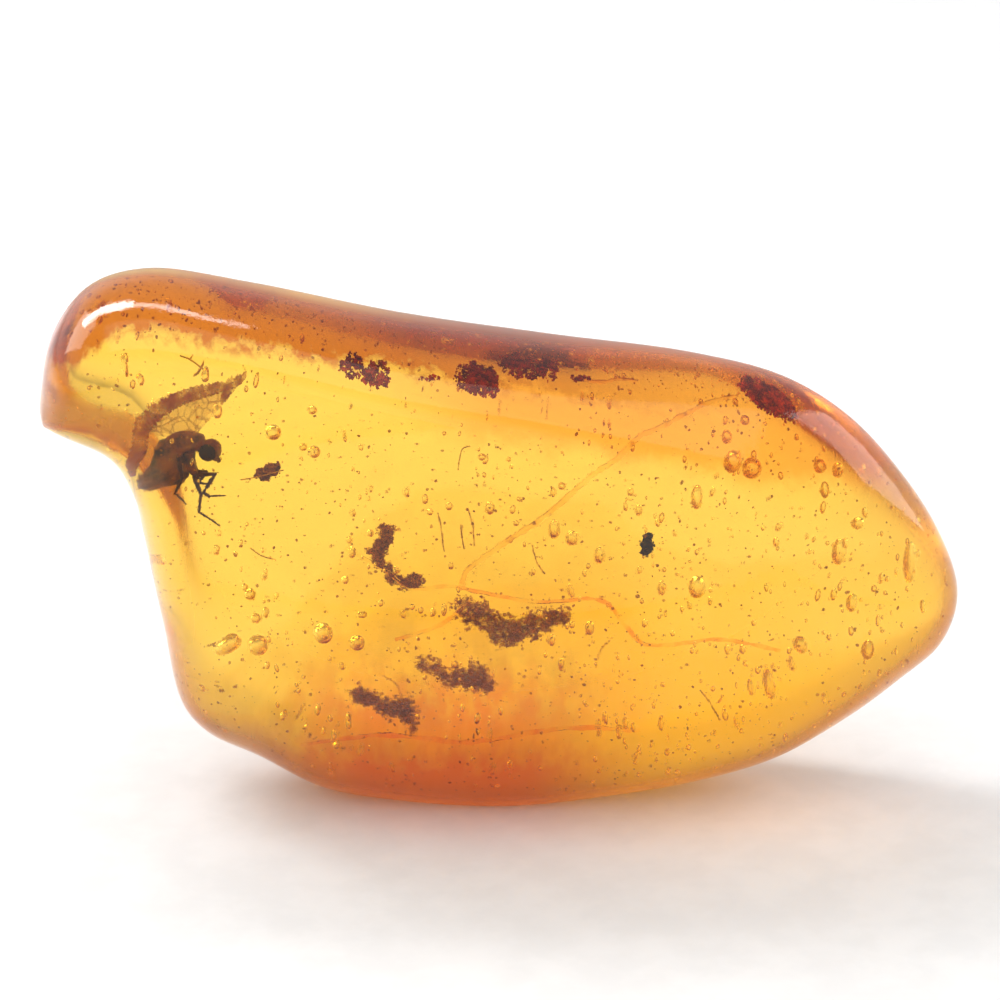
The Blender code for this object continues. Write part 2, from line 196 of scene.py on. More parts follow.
# --- what is placed by sight, in the view's own units -----------------------------------------
# Bubbles as (across, down, half width, half height), the last two in millimetres.
BUBBLES = [
    (273, 432, 0.42, 0.42), (312, 410, 0.24, 0.25), (303, 447, 0.2, 0.2), (314, 452, 0.32, 0.33),
    (323, 633, 0.5, 0.52), (258, 645, 0.52, 0.5), (232, 642, 0.44, 0.4), (357, 643, 0.4, 0.38),
    (250, 594, 0.3, 0.3), (256, 618, 0.24, 0.24), (733, 461, 0.44, 0.44), (752, 468, 0.5, 0.5),
    (697, 498, 0.3, 0.6), (554, 529, 0.32, 0.5), (572, 538, 0.34, 0.4), (600, 555, 0.25, 0.45),
    (697, 587, 0.44, 0.56), (662, 588, 0.22, 0.38), (840, 551, 0.36, 0.62),
    (745, 420, 0.24, 0.27), (727, 436, 0.27, 0.3), (820, 466, 0.34, 0.36), (838, 470, 0.3, 0.34),
    (825, 490, 0.24, 0.44), (858, 523, 0.34, 0.28), (910, 562, 0.33, 0.95), (852, 603, 0.3, 0.45),
    (801, 645, 0.34, 0.38), (770, 685, 0.3, 0.5), (590, 628, 0.25, 0.35), (490, 508, 0.25, 0.35),
    (425, 499, 0.17, 0.26), (430, 512, 0.17, 0.18), (449, 506, 0.19, 0.21), (516, 523, 0.15, 0.15),
    (562, 486, 0.2, 0.2), (217, 411, 0.27, 0.4), (447, 341, 0.3, 0.3), (409, 320, 0.2, 0.2),
    (385, 324, 0.18, 0.18), (352, 552, 0.22, 0.3), (349, 540, 0.16, 0.2), (482, 457, 0.2, 0.18),
    (345, 580, 0.2, 0.2), (362, 614, 0.26, 0.16), (205, 377, 0.2, 0.22), (140, 380, 0.2, 0.26),
    (880, 470, 0.2, 0.26), (868, 650, 0.34, 0.5), (640, 570, 0.15, 0.2), (552, 640, 0.2, 0.3),
    (380, 553, 0.26, 0.3), (370, 533, 0.17, 0.2), (391, 530, 0.16, 0.26), (396, 570, 0.15, 0.2),
    (403, 614, 0.18, 0.2), (412, 607, 0.15, 0.15), (433, 612, 0.16, 0.22), (455, 665, 0.2, 0.2)]
BUBBLE_DEPTHS = (-3.6, 1.5)
# Crusts as (across, down, half width, half height, turn in degrees, granules' share).
CRUSTS = [(352, 366, 15, 15, 15, 0.8), (378, 374, 18, 16, -20, 0.9), (428, 378, 15, 4, 0, 0.5),
          (478, 380, 24, 18, 20, 1.6), (520, 366, 28, 13, 15, 0.9), (548, 368, 16, 14, 30, 0.7),
          (580, 378, 16, 4, 0, 0.5), (769, 399, 34, 13, 35, 2.4)]
CRUST_BELOW = 0.35
# Fibres as lists of (across, down), and how thick they are in millimetres.
FIBRES = [[(180, 355), (190, 359), (203, 369)], [(190, 360), (193, 355)], [(203, 368), (194, 372)],
          [(438, 513), (441, 528), (444, 550)], [(461, 525), (462, 538), (464, 549)],
          [(468, 509), (473, 525), (474, 546)], [(532, 545), (537, 562), (545, 574)],
          [(470, 446), (462, 450), (458, 470)], [(383, 676), (396, 684), (404, 702)],
          [(250, 548), (262, 556), (276, 560)], [(240, 480), (262, 476), (283, 470)],
          [(610, 640), (600, 652), (596, 668)], [(700, 690), (712, 706), (720, 720)]]
FIBRE_RADIUS = 0.028
PALE_SEAMS = [[(462, 585), (466, 572), (480, 560), (512, 538), (540, 520), (572, 493), (600, 470),
               (617, 459), (640, 436), (660, 428), (686, 413), (713, 401), (738, 396)],
              [(572, 378), (600, 382), (618, 379), (638, 381)]]
DARK_SEAMS = [[(345, 548), (385, 570), (410, 588), (450, 586), (480, 592), (540, 602), (600, 600),
               (625, 625), (650, 645), (720, 640), (780, 650)],
              [(395, 640), (440, 625), (470, 600)],
              [(300, 745), (380, 735), (470, 742), (560, 728), (640, 730)]]
SPARKLES = [(720, 700), (724, 708), (735, 722), (668, 738), (690, 760), (640, 752), (192, 441)]

# --- meshes --------------------------------------------------------------------------------
def add_piece(mesh, name, material):
    """A finished piece at the origin that rides on the object's one body."""
    if material:
        mesh.materials.clear()
        mesh.materials.append(material)
    made = bpy.data.objects.new(name, mesh)
    bpy.context.scene.collection.objects.link(made)
    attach(made, "root")
    return made


def mesh_from_bmesh(bm, name, smooth=True):
    mesh = bpy.data.meshes.new(name)
    bm.to_mesh(mesh)
    bm.free()
    if smooth:
        mesh.shade_smooth()
    return mesh


# --- the stone's surface -------------------------------------------------------------------
def smooth_step(low, high, value):
    t = np.clip((value - low) / (high - low), 0.0, 1.0)
    return t * t * (3.0 - 2.0 * t)


def rim_curve():
    """The rim as evenly spaced points on a smooth curve through RIM, from +X round."""
    points = np.array(RIM)
    stretches = []
    for i in range(len(points)):
        a, b, c, d = (points[(i + k) % len(points)] for k in (-1, 0, 1, 2))
        t1 = math.dist(a, b) ** 0.5
        t2 = t1 + math.dist(b, c) ** 0.5
        t3 = t2 + math.dist(c, d) ** 0.5
        t = np.linspace(t1, t2, 24, endpoint=False)[:, None]
        ab = a + (b - a) * t / t1
        bc = b + (c - b) * (t - t1) / (t2 - t1)
        cd = c + (d - c) * (t - t2) / (t3 - t2)
        abc = ab + (bc - ab) * t / t2
        bcd = bc + (cd - bc) * (t - t1) / (t3 - t1)
        stretches.append(abc + (bcd - abc) * (t - t1) / (t2 - t1))
    curve = np.vstack(stretches)
    closed = np.vstack([curve, curve[:1]])
    length = np.concatenate([[0.0], np.cumsum(np.linalg.norm(np.diff(closed, axis=0), axis=1))])
    even = np.linspace(0.0, length[-1], RIM_SAMPLES, endpoint=False)
    rim = np.column_stack([np.interp(even, length, closed[:, 0]),
                           np.interp(even, length, closed[:, 1])])
    angle = np.arctan2(rim[:, 1] - STONE_CENTRE[1], rim[:, 0] - STONE_CENTRE[0])
    return np.roll(rim, -int(np.argmin(np.abs(angle))), axis=0)


RIM_CURVE = rim_curve()


def rim_at(angle):
    place = angle / (2.0 * math.pi) % 1.0 * RIM_SAMPLES
    low = np.floor(place).astype(int) % RIM_SAMPLES
    part = (place - np.floor(place))[:, None]
    return RIM_CURVE[low] * (1.0 - part) + RIM_CURVE[(low + 1) % RIM_SAMPLES] * part


def edge_distance(points):
    """Distance in from the rim: exact at the rim, softened inside so it has no creases."""
    along = np.roll(RIM_CURVE, -1, axis=0) - RIM_CURVE
    length_squared = (along ** 2).sum(axis=1)
    step = math.sqrt(length_squared.mean())
    straight_line = math.sqrt(math.pi) * math.gamma(2.0) / math.gamma(2.5)
    result = np.empty(len(points))
    for start in range(0, len(points), 1000):
        offset = points[start:start + 1000, None, :] - RIM_CURVE[None, :, :]
        squared = np.maximum((offset ** 2).sum(axis=2), 1e-9)
        soft = ((squared ** -2.5).sum(axis=1) * step / straight_line) ** -0.25
        t = np.clip((offset * along).sum(axis=2) / length_squared, 0.0, 1.0)
        near = np.sqrt(((offset - along * t[:, :, None]) ** 2).sum(axis=2).min(axis=1))
        share = smooth_step(0.3, 0.7, near)
        result[start:start + 1000] = near * (1.0 - share) + soft * share
    return result


def rounding_width(x, z, front):
    left = smooth_step(-12.0, -20.0, x)
    width = ROUND_TOP + (ROUND_RIGHT - ROUND_TOP) * smooth_step(0.0, 22.0, x)
    width += (ROUND_LEFT - width) * left
    width += (ROUND_BOTTOM - width) * smooth_step(15.0, 3.0, z) * (1.0 - left)
    return np.where(front, width, width * BACK_ROUNDER)


def middle_of_depth(z):
    return SWAY * (smooth_step(*SWAY_SPAN, z) - SWAY_FORWARD)


def stone_points(directions):
    """The stone's middle surface and how far each point stands from it, in millimetres."""
    angle = np.arctan2(directions[:, 2], directions[:, 0])
    reach = np.hypot(directions[:, 0], directions[:, 2])[:, None]
    flat = STONE_CENTRE + reach * (rim_at(angle) - STONE_CENTRE)
    x, z = flat[:, 0], flat[:, 1]
    front = directions[:, 1] < 0.0
    inward = np.minimum(edge_distance(flat) / rounding_width(x, z, front), 1.0)
    profile = np.sqrt(np.maximum(1.0 - (1.0 - inward) ** ROUND_POWER, 0.0))
    full = np.exp(-((x - FULLEST[0]) / DOME_REACH[0]) ** 2
                  - ((z - FULLEST[1]) / DOME_REACH[1]) ** 2)
    depth = HALF_DEPTH * (1.0 - FACE_DOME * (1.0 - full))
    depth *= 1.0 - END_TAPER * smooth_step(5.0, 23.0, x)
    middle = np.column_stack([x, middle_of_depth(z), z - FLAT_HEIGHT])
    return middle, np.sign(directions[:, 1]) * depth * profile


def ball_grid(cuts):
    """A cube grid blown up to a ball, and the unit direction of each of its points."""
    bm = bmesh.new()
    bmesh.ops.create_cube(bm, size=2.0)
    bmesh.ops.subdivide_edges(bm, edges=bm.edges[:], cuts=cuts, use_grid_fill=True)
    cube = np.tan(np.array([vert.co for vert in bm.verts]) * math.pi / 4.0)
    directions = cube / np.linalg.norm(cube, axis=1)[:, None]
    directions[np.abs(directions[:, 1]) < 1e-6, 1] = 0.0
    return bm, directions


def place_vertices(bm, points):
    for vert, place in zip(bm.verts, points * MM):
        vert.co = place
    bm.normal_update()


def cut_flat(bm, height):
    geometry = bm.verts[:] + bm.edges[:] + bm.faces[:]
    bmesh.ops.bisect_plane(bm, geom=geometry, dist=1e-8, plane_co=(0.0, 0.0, height),
                           plane_no=(0.0, 0.0, -1.0), clear_outer=True)
    bmesh.ops.holes_fill(bm, edges=[edge for edge in bm.edges if edge.is_boundary], sides=0)


STONE_GRID, STONE_DIRECTIONS = ball_grid(STONE_CUTS)
STONE_MIDDLE, STONE_OFFSET = stone_points(STONE_DIRECTIONS)


def amber_piece(material):
    bm = STONE_GRID.copy()
    inset = 1.0 - SKIN / HALF_DEPTH
    place_vertices(bm, STONE_MIDDLE + STONE_OFFSET[:, None] * np.array([0.0, inset, 0.0]))
    cut_flat(bm, SKIN * MM)
    stone = add_piece(mesh_from_bmesh(bm, "amber"), "amber", material)
    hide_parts("amber_front", "amber_back")
    return stone


# --- finding a place by sight --------------------------------------------------------------
def amber_surface():
    points = STONE_MIDDLE + STONE_OFFSET[:, None] * np.array([0.0, 1.0, 0.0])
    corners = [[vert.index for vert in face.verts] for face in STONE_GRID.faces]
    return BVHTree.FromPolygons(points.tolist(), corners)


AMBER_SURFACE = amber_surface()


def view_back():
    return Vector((0.0, -math.cos(VIEW_ELEVATION), math.sin(VIEW_ELEVATION)))


def sight_line(across, down):
    """Where the sight line through a point of the view enters the amber, and its way on inside."""
    back = view_back()
    right = Vector((1.0, 0.0, 0.0))
    up = back.cross(right)
    line = right * (across - VIEW_SIZE / 2.0) + up * (VIEW_SIZE / 2.0 - down)
    line = (line - back * VIEW_SIZE * LENS / SENSOR).normalized()
    entry, normal, _, _ = AMBER_SURFACE.ray_cast(AIM + back * VIEW_DISTANCE, line)
    normal = normal if normal.dot(line) < 0.0 else -normal
    ratio = 1.0 / AMBER_IOR
    slope = -line.dot(normal)
    bent = ratio * line + (ratio * slope
                           - math.sqrt(1.0 - ratio ** 2 * (1.0 - slope ** 2))) * normal
    return entry, bent.normalized()


def seen_at(across, down, depth):
    """The point of the plane y = depth that is seen there, kept inside the stone."""
    entry, line = sight_line(across, down)
    far = AMBER_SURFACE.ray_cast(entry + line * 0.01, line)[3] or 1.0
    along = np.clip((depth - entry.y) / line.y, 0.12 * far, 0.85 * far)
    return entry + line * float(along)


def just_under(across, down, below):
    entry, line = sight_line(across, down)
    return entry + line * below


# --- shapes --------------------------------------------------------------------------------
def smooth_route(points, steps=6):
    """A rounded route through the points, each of them a place with a radius."""
    rows = np.array([[*place, radius] for place, radius in points])
    if len(rows) < 3:
        return [(Vector(row[:3]), row[3]) for row in rows]
    padded = np.vstack([2 * rows[0] - rows[1], rows, 2 * rows[-1] - rows[-2]])
    route = []
    for i in range(len(rows) - 1):
        a, b, c, d = padded[i:i + 4]
        for t in np.linspace(0.0, 1.0, steps, endpoint=False):
            route.append(0.5 * (2 * b + (c - a) * t + (2 * a - 5 * b + 4 * c - d) * t ** 2
                                + (3 * b - a - 3 * c + d) * t ** 3))
    route.append(rows[-1])
    return [(Vector(row[:3]), max(row[3], 0.015)) for row in route]


def in_plane(points, depth=0.0):
    """Points of a polyline in the plane y = depth, each with its radius."""
    return [(Vector((x, depth, z)), radius) for x, z, radius in points]


def add_tube(bm, route, sides=10, flatness=1.0, roughness=0.0, seed=0):
    """A closed tube along a route of (place, radius), flattened in depth and roughened."""
    rng = np.random.default_rng(seed)
    rings = []
    for i, (place, radius) in enumerate(route):
        ahead = route[min(i + 1, len(route) - 1)][0] - route[max(i - 1, 0)][0]
        ahead.normalize()
        side = Vector((0.0, 1.0, 0.0))
        side = (side - ahead * side.dot(ahead)).normalized()
        across = ahead.cross(side)
        ring = []
        for k in range(sides):
            turn = 2.0 * math.pi * k / sides
            reach = radius * (1.0 + roughness * rng.uniform(-1.0, 1.0))
            spot = place + (across * math.cos(turn) + side * math.sin(turn) * flatness) * reach
            ring.append(bm.verts.new(spot * MM))
        rings.append(ring)
    for lower, upper in zip(rings, rings[1:]):
        for k in range(sides):
            bm.faces.new((lower[k - 1], lower[k], upper[k], upper[k - 1]))
    bm.faces.new(rings[0])
    bm.faces.new(reversed(rings[-1]))


def add_lump(bm, centre, radii, turn=0.0, square=1.0, detail=4, lumps=0.0, lump_size=0.5):
    """A ball stretched to radii, squared off below square = 1, with a lumpy surface."""
    made = bmesh.ops.create_icosphere(bm, subdivisions=detail, radius=1.0)
    spin = Matrix.Rotation(turn, 3, "Y")
    for vert in made["verts"]:
        out = vert.co.normalized()
        shaped = Vector([math.copysign(abs(c) ** square, c) * r for c, r in zip(out, radii)])
        swell = 1.0 + lumps * noise.noise((Vector(centre) + shaped) / lump_size)
        vert.co = (Vector(centre) + spin @ (shaped * swell)) * MM
    return made["verts"]


def finished(bm, name, material, slot, *nodes, smooth=True):
    """A piece from a bmesh, with its faces turned outwards, that replaces these CAD nodes."""
    bmesh.ops.recalc_face_normals(bm, faces=bm.faces)
    piece = add_piece(mesh_from_bmesh(bm, name, smooth), name, material)
    if nodes:
        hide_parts(*nodes)
    return piece


# --- nodes -----------------------------------------------------------------------------------
def set_inputs(tree, node, inputs):
    """Gives each named input its value, or links it from another node's output."""
    for name, value in inputs.items():
        if isinstance(value, bpy.types.NodeSocket):
            tree.links.new(value, node.inputs[name])
        else:
            node.inputs[name].default_value = value


def add_node(tree, kind, inputs=None, **settings):
    node = tree.nodes.new(kind)
    for name, value in settings.items():
        setattr(node, name, value)
    set_inputs(tree, node, inputs or {})
    return node


def math_node(tree, operation, *values):
    inputs = dict(enumerate(values))
    return add_node(tree, "ShaderNodeMath", inputs, operation=operation).outputs[0]


def own_space(tree):
    return add_node(tree, "ShaderNodeTexCoord").outputs["Object"]


# --- what repeats, by geometry nodes -------------------------------------------------------
def scatter_tree():
    """Small balls or grains strewn over a mesh, most of them small, as its crowding says."""
    tree = bpy.data.node_groups.new("strewn grains", "GeometryNodeTree")
    sockets = {"Geometry": "Geometry", "Per Square Millimetre": "Float", "Smallest": "Float",
               "Largest": "Float", "Stretch": "Vector", "Spin": "Float", "Ball Detail": "Int",
               "Smooth": "Bool", "Seed": "Int", "Material": "Material"}
    for name, kind in sockets.items():
        tree.interface.new_socket(name, in_out="INPUT", socket_type="NodeSocket" + kind)
    tree.interface.new_socket("Geometry", in_out="OUTPUT", socket_type="NodeSocketGeometry")
    given = tree.nodes.new("NodeGroupInput").outputs
    crowding = add_node(tree, "GeometryNodeInputNamedAttribute", {"Name": "crowding"})
    per_metre = math_node(tree, "MULTIPLY", given["Per Square Millimetre"], 1.0 / MM ** 2)
    density = math_node(tree, "MULTIPLY", crowding.outputs["Attribute"], per_metre)
    strewn = add_node(tree, "GeometryNodeDistributePointsOnFaces",
                      {"Mesh": given["Geometry"], "Density": density, "Seed": given["Seed"]})
    chance = add_node(tree, "FunctionNodeRandomValue", {"Seed": given["Seed"]})
    rare = math_node(tree, "POWER", chance.outputs[1], SMALLNESS)
    size = add_node(tree, "ShaderNodeMapRange",
                    {"Value": rare, "To Min": given["Smallest"], "To Max": given["Largest"]})
    size_metres = math_node(tree, "MULTIPLY", size.outputs["Result"], MM)
    tallness = add_node(tree, "FunctionNodeRandomValue",
                        {0: (1.0, 1.0, 1.0), 1: given["Stretch"]}, data_type="FLOAT_VECTOR")
    scale = add_node(tree, "ShaderNodeVectorMath",
                     {0: tallness.outputs[0], "Scale": size_metres}, operation="SCALE")
    backward = math_node(tree, "MULTIPLY", given["Spin"], -1.0)
    turn = add_node(tree, "FunctionNodeRandomValue", {0: backward, 1: given["Spin"]},
                    data_type="FLOAT_VECTOR")
    ball = add_node(tree, "GeometryNodeMeshIcoSphere",
                    {"Radius": 1.0, "Subdivisions": given["Ball Detail"]})
    placed = add_node(tree, "GeometryNodeInstanceOnPoints",
                      {"Points": strewn.outputs["Points"], "Instance": ball.outputs["Mesh"],
                       "Rotation": turn.outputs[0], "Scale": scale.outputs[0]})
    real = add_node(tree, "GeometryNodeRealizeInstances",
                    {"Geometry": placed.outputs["Instances"]})
    shade = add_node(tree, "GeometryNodeSetShadeSmooth",
                     {"Geometry": real.outputs["Geometry"], "Shade Smooth": given["Smooth"]})
    paint = add_node(tree, "GeometryNodeSetMaterial",
                     {"Geometry": shade.outputs["Geometry"], "Material": given["Material"]})
    add_node(tree, "NodeGroupOutput", {"Geometry": paint.outputs["Geometry"]})
    return tree


def set_crowding(mesh, values):
    layer = mesh.attributes.new("crowding", "FLOAT", "POINT")
    layer.data.foreach_set("value", np.asarray(values, dtype=np.float32))


def strew(carrier, tree, name, material, density, smallest, largest,
          stretch=(1.0, 1.0, 1.0), spin=math.pi, detail=2, smooth=True, seed=1):
    """The grains strewn over the carrier mesh, as one plain mesh piece."""
    holder = bpy.data.objects.new(name + "_carrier", carrier)
    bpy.context.scene.collection.objects.link(holder)
    modifier = holder.modifiers.new("strewn grains", "NODES")
    modifier.node_group = tree
    values = {"Per Square Millimetre": density, "Smallest": smallest, "Largest": largest,
              "Stretch": stretch, "Spin": spin, "Ball Detail": detail, "Smooth": smooth,
              "Seed": seed, "Material": material}
    for socket in tree.interface.items_tree:
        if socket.in_out == "INPUT" and socket.name in values:
            modifier[socket.identifier] = values[socket.name]
    evaluated = holder.evaluated_get(bpy.context.evaluated_depsgraph_get())
    mesh = bpy.data.meshes.new_from_object(evaluated)
    bpy.data.objects.remove(holder)
    return add_piece(mesh, name, material)


# --- materials -----------------------------------------------------------------------------
def new_material(name):
    material = bpy.data.materials.new(name)
    material.use_nodes = True
    return material, material.node_tree, material.node_tree.nodes["Principled BSDF"]


def mottle_group():
    """Uneven colour and height by noise, in millimetres of the object's own space."""
    tree = bpy.data.node_groups.new("mottle", "ShaderNodeTree")
    sockets = {"Per Millimetre": "Float", "Stretch": "Vector", "Light": "Color",
               "Dark": "Color"}
    for name, kind in sockets.items():
        tree.interface.new_socket(name, in_out="INPUT", socket_type="NodeSocket" + kind)
    tree.interface.new_socket("Color", in_out="OUTPUT", socket_type="NodeSocketColor")
    tree.interface.new_socket("Height", in_out="OUTPUT", socket_type="NodeSocketFloat")
    given = tree.nodes.new("NodeGroupInput").outputs
    place = add_node(tree, "ShaderNodeVectorMath", {0: own_space(tree), 1: given["Stretch"]},
                     operation="MULTIPLY")
    scale = math_node(tree, "MULTIPLY", given["Per Millimetre"], 1.0 / MM)
    uneven = add_node(tree, "ShaderNodeTexNoise", {"Vector": place.outputs[0], "Scale": scale,
                                                   "Detail": 6.0, "Roughness": 0.6})
    spread = ramp(tree, uneven.outputs["Fac"], *MOTTLE_SPREAD)
    blend = add_node(tree, "ShaderNodeMix",
                     {"Factor": spread, "A": given["Dark"], "B": given["Light"]},
                     data_type="RGBA")
    add_node(tree, "NodeGroupOutput", {"Color": blend.outputs["Result"], "Height": spread})
    return tree


def ramp(tree, value, low, high, top=1.0):
    """0 to top as the value goes from low to high, eased."""
    step = add_node(tree, "ShaderNodeMapRange",
                    {"Value": value, "From Min": low, "From Max": high, "To Max": top},
                    interpolation_type="SMOOTHSTEP")
    return step.outputs["Result"]


MOTTLE = mottle_group()


def mottle(tree, per_millimetre, dark, light, stretch=(1.0, 1.0, 1.0)):
    inputs = {"Per Millimetre": per_millimetre, "Dark": (*dark, 1.0), "Light": (*light, 1.0),
              "Stretch": stretch}
    return add_node(tree, "ShaderNodeGroup", inputs, node_tree=MOTTLE).outputs


def rough_material(name, dark, light, per_millimetre=2.0, roughness=0.6, relief=0.03,
                   metallic=0.0, see_through=()):
    """A mottled, uneven surface; see_through is how thin it is where dark and where light."""
    material, tree, shader = new_material(name)
    pattern = mottle(tree, per_millimetre, dark, light)
    bump = add_node(tree, "ShaderNodeBump",
                    {"Distance": relief * MM, "Height": pattern["Height"]})
    set_inputs(tree, shader, {"Base Color": pattern["Color"], "Roughness": roughness,
                              "Metallic": metallic, "Normal": bump.outputs["Normal"]})
    if see_through:
        solid = add_node(tree, "ShaderNodeMapRange",
                         {"Value": pattern["Height"], "To Min": 1.0 - see_through[0],
                          "To Max": 1.0 - see_through[1]})
        tree.links.new(solid.outputs["Result"], shader.inputs["Alpha"])
    return material


def glass(name, ior, dark=(0.96, 0.93, 0.86), light=(1.0, 1.0, 1.0), roughness=0.0):
    material, tree, shader = new_material(name)
    pattern = mottle(tree, 0.8, dark, light)
    set_inputs(tree, shader, {"Base Color": pattern["Color"], "Transmission Weight": 1.0,
                              "Roughness": roughness, "IOR": ior})
    return material


def wing_material():
    """A thin golden skin with a darker network of veins."""
    material, tree, shader = new_material("wing skin")
    pattern = mottle(tree, 1.2, (1.0, 0.4, 0.0), (1.0, 0.7, 0.01))
    cells = add_node(tree, "ShaderNodeTexVoronoi",
                     {"Scale": VEINS_PER_MM / MM, "Vector": own_space(tree)},
                     feature="DISTANCE_TO_EDGE")
    vein = add_node(tree, "ShaderNodeMapRange",
                    {"Value": cells.outputs["Distance"], "From Min": VEIN_EDGE[0],
                     "From Max": VEIN_EDGE[1], "To Min": 1.0, "To Max": 0.0}).outputs["Result"]
    colour = tint_step(tree, pattern["Color"], vein, VEIN_TINT)
    thickness = math_node(tree, "MULTIPLY_ADD", vein, 0.3, 0.16)
    set_inputs(tree, shader, {"Base Color": colour, "Alpha": thickness, "Roughness": 0.3})
    return material


def tint_step(tree, colour, amount, tint):
    """The colour so far, changed to the tint where amount is 1."""
    blend = add_node(tree, "ShaderNodeMix", {"Factor": amount, "A": colour, "B": (*tint, 1.0)},
                     data_type="RGBA")
    return blend.outputs["Result"]


def unevenness(tree, per_millimetre, squash):
    """0 to 1 in a mottle that is squashed, or drawn out, in height."""
    return mottle(tree, per_millimetre, (0.0, 0.0, 0.0), (1.0, 1.0, 1.0),
                  (1.0, 1.0, squash))["Height"]


def only_where(tree, amount, value, low, high, top=1.0):
    """The amount, taken down to nothing as the value goes from high to low."""
    return math_node(tree, "MULTIPLY", amount, ramp(tree, value, low, high, top))


def amber_material():
    """Clear amber, deeper orange low down and at the right, with painted red-orange light at the
    bottom and painted brown and orange shade along the top shoulder.
    """
    material, tree, shader = new_material("clear amber")
    place = add_node(tree, "ShaderNodeVectorMath", {0: own_space(tree), "Scale": 1.0 / MM},
                     operation="SCALE")
    across, depth, height = add_node(tree, "ShaderNodeSeparateXYZ",
                                     {0: place.outputs[0]}).outputs
    swirl, streaks, cloud, blotches = (unevenness(tree, *size) for size in
                                       (SWIRLS, STREAKS, CLOUDS, BLOTCHES))
    below = math_node(tree, "SUBTRACT", DEEP_ORANGE_TOP, height)
    for start, end, drop in DEEP_ORANGE_STEPS:
        below = math_node(tree, "SUBTRACT", below, ramp(tree, across, start, end, drop))
    below = math_node(tree, "MULTIPLY_ADD", swirl, TINT_RAGGED, below)
    ragged = math_node(tree, "MULTIPLY_ADD", streaks, TINT_RAGGED, height)
    colour = add_node(tree, "ShaderNodeRGB").outputs[0]
    colour.default_value = (*CLEAR_TINT, 1.0)
    for low, high, share in ORANGE_STEPS:
        colour = tint_step(tree, colour, ramp(tree, below, low, high, share), ORANGE_TINT)
    murk = only_where(tree, cloud, below, *MURK_BELOW, MURK_AMOUNT)
    murk = only_where(tree, murk, across, *MURK_REACH)
    colour = tint_step(tree, colour, murk, MURK_TINT)
    stain = only_where(tree, blotches, ragged, *STAIN_HEIGHTS, STAIN_AMOUNT)
    stain = only_where(tree, stain, across, *STAIN_REACH)
    colour = tint_step(tree, colour, stain, STAIN_TINT)
    # Painted light: the red-orange glow low in the stone.
    red = ramp(tree, ragged, *RED_HEIGHTS)
    for reach in RED_REACH:
        red = only_where(tree, red, across, *reach)
    colour = tint_step(tree, colour, red, BOTTOM_GLOW_TINT)
    shoulder = math_node(tree, "MULTIPLY_ADD", across, SHOULDER_FALL, height)
    # Painted shade: the orange fringe of the top shoulder's shade, on the right.
    upper = math_node(tree, "MULTIPLY_ADD", cloud, UPPER_RAGGED, shoulder)
    upper = ramp(tree, upper, *UPPER_EDGE)
    upper = only_where(tree, upper, across, *UPPER_REACH, UPPER_AMOUNT)
    colour = tint_step(tree, colour, upper, UPPER_SHADE_TINT)
    shoulder = math_node(tree, "ADD", shoulder, ramp(tree, across, *SHOULDER_END))
    shoulder = math_node(tree, "MULTIPLY_ADD", streaks, SHOULDER_RAGGED, shoulder)
    # Painted shade: the dark brown band along the top shoulder.
    band = ramp(tree, shoulder, SHOULDER_EDGE, SHOULDER_EDGE + SHOULDER_BLUR)
    band = only_where(tree, band, across, *SHOULDER_REACH)
    band = only_where(tree, band, depth, *SHOULDER_DEPTH)
    colour = tint_step(tree, colour, band, SHOULDER_SHADE_TINT)
    matt = ramp(tree, depth, *MATT_BEGINS)
    matt = only_where(tree, matt, depth, *MATT_ENDS, MATT_ROUGHNESS)
    wear = add_node(tree, "ShaderNodeBump", {"Distance": WEAR * MM, "Height": streaks})
    set_inputs(tree, shader, {"Base Color": colour, "Transmission Weight": 1.0,
                              "Roughness": matt, "IOR": AMBER_IOR,
                              "Normal": wear.outputs["Normal"]})
    volume = add_node(tree, "ShaderNodeVolumeAbsorption",
                      {"Color": (*AMBER_ABSORPTION, 1.0), "Density": AMBER_DENSITY})
    tree.links.new(volume.outputs["Volume"], tree.nodes["Material Output"].inputs["Volume"])
    return material


# --- the insect ----------------------------------------------------------------------------
def lean_forward(bm):
    """Brings the insect's tail end nearer the front face, as it lies askew in the stone."""
    for vert in bm.verts:
        shift = min(max(0.0, LEAN * (HEAD[0] - vert.co.x / MM)), LEAN_MOST)
        vert.co += Vector((0.0, -shift, LEAN_RISE * shift)) * MM


def insect_body(material):
    bm = bmesh.new()
    add_lump(bm, THORAX, THORAX_RADII, math.radians(-10.0), lumps=0.12)
    spin = Matrix.Rotation(ABDOMEN_TURN, 3, "Y")
    for vert in add_lump(bm, ABDOMEN, ABDOMEN_RADII, ABDOMEN_TURN, square=0.72, lumps=0.07):
        out = vert.co / MM - Vector(ABDOMEN)
        ring = math.cos((spin.inverted() @ out).z / ABDOMEN_RADII[2] * math.pi * ABDOMEN_RINGS)
        vert.co = (Vector(ABDOMEN) + out * (1.0 + 0.035 * ring)) * MM
    add_lump(bm, HEAD, HEAD_RADII, lumps=0.08)
    add_tube(bm, smooth_route(in_plane(NECK)))
    add_tube(bm, smooth_route(in_plane(SNOUT)))
    for side in (-1.0, 1.0):
        add_tube(bm, smooth_route(in_plane(HIP, side * 0.2)), roughness=0.04)
    lean_forward(bm)
    return finished(bm, "insect_body", material, "insect", "insect")


def insect_eyes(material):
    bm = bmesh.new()
    for side in (-1.0, 1.0):
        across, depth, height = EYE_OFFSET
        add_lump(bm, Vector(HEAD) + Vector((across, side * depth, height)), EYE_RADII)
    lean_forward(bm)
    return finished(bm, "insect_eyes", material, "insect")


